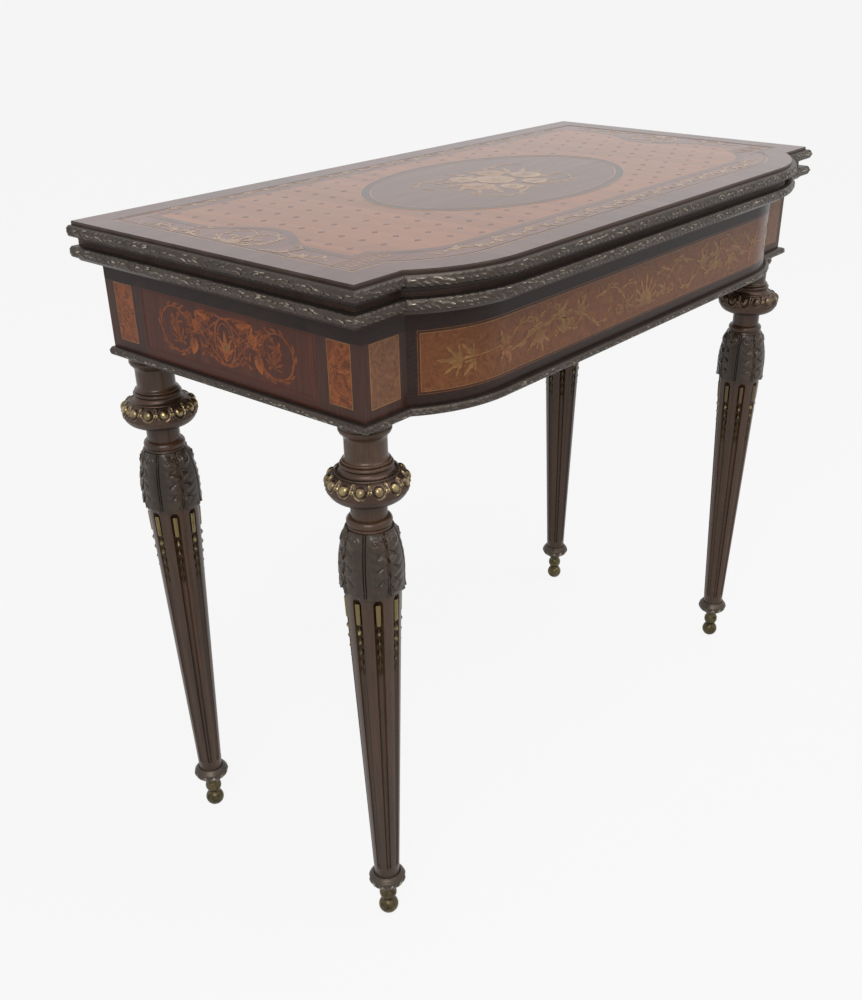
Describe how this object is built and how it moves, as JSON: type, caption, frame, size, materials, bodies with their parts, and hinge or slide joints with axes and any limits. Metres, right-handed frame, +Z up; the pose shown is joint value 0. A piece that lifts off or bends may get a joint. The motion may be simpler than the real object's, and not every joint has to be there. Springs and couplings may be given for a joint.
{
  "type": "card table",
  "caption": "Fold-over card table with a shaped marquetry top that swivels and unfolds over a veneered frieze, on turned fluted legs with ball feet.",
  "frame": {"origin": "on the floor, under the middle of the closed table's plan", "axes": "+X to the right along the front, +Y to the back, +Z up"},
  "size_m": [0.9, 0.4542, 0.77],
  "materials": {
    "rosewood": "french-polished dark rosewood veneer",
    "mahogany": "plain polished mahogany",
    "oak": "unpolished oak",
    "ebonised": "dark stained, fluted and carved, waxed",
    "tulipwood": "polished marquetry",
    "satinwood": "polished marquetry",
    "amaranth": "polished marquetry",
    "burl": "polished burl veneer",
    "bronze": "dark patinated gilt bronze, worn bright on the high spots",
    "brass": "aged brass",
    "iron": "oiled iron",
    "baize": "green wool baize",
    "felt": "grey felt",
    "lining": "dull red cotton lining"
  },
  "bodies": {
    "frame": {"back_left_ball_foot": "brass", "back_left_leg": "ebonised", "back_left_leg_collar": "bronze", "back_left_leg_neck": "ebonised", "back_left_post": "rosewood", "back_rail": "mahogany", "back_right_ball_foot": "brass", "back_right_leg": "ebonised", "back_right_leg_collar": "bronze", "back_right_leg_neck": "ebonised", "back_right_post": "rosewood", "bottom_bearers": "oak", "bottom_board": "oak", "corner_veneers": "burl", "flute_mounts": "brass", "foot_rings": "bronze", "frieze_mount": "bronze", "front_left_ball_foot": "brass", "front_left_leg": "ebonised", "front_left_leg_collar": "bronze", "front_left_leg_neck": "ebonised", "front_left_post": "rosewood", "front_marquetry_panel": "satinwood", "front_rail": "rosewood", "front_right_ball_foot": "brass", "front_right_leg": "ebonised", "front_right_leg_collar": "bronze", "front_right_leg_neck": "ebonised", "front_right_post": "rosewood", "glide_felts": "felt", "left_end_rail": "rosewood", "left_marquetry_panel": "amaranth", "pivot_bush": "brass", "pivot_rail": "oak", "rail_dowels": "oak", "right_end_rail": "rosewood", "right_marquetry_panel": "amaranth", "stop_block": "oak", "well_lining": "lining", "well_partition": "oak"},
    "lower_leaf": {"lower_leaf": "rosewood", "lower_edge_mount": "bronze", "lower_baize": "baize", "hinge_lower_plates": "brass", "hinge_lower_screws": "brass", "hinge_pins": "brass", "pivot_plate": "brass", "pivot_plate_screws": "brass", "pivot_bolt": "iron", "pivot_washer": "iron", "pivot_nut": "iron", "stop_peg": "oak"},
    "upper_leaf": {"upper_leaf": "rosewood", "upper_edge_mount": "bronze", "upper_baize": "baize", "top_marquetry_panel": "tulipwood", "hinge_upper_plates": "brass", "hinge_upper_screws": "brass"}
  },
  "joints": [
    {"name": "top_swivel", "type": "hinge", "parent": "frame", "child": "lower_leaf", "pos_m": [0.10927, 0.11388, 0.7285], "axis": [0, 0, 1], "range_deg": [0, 90]},
    {"name": "leaf_fold", "type": "hinge", "parent": "lower_leaf", "child": "upper_leaf", "pos_m": [0, 0.22315, 0.7495], "axis": [-1, 0, 0], "range_deg": [0, 180]}
  ]
}
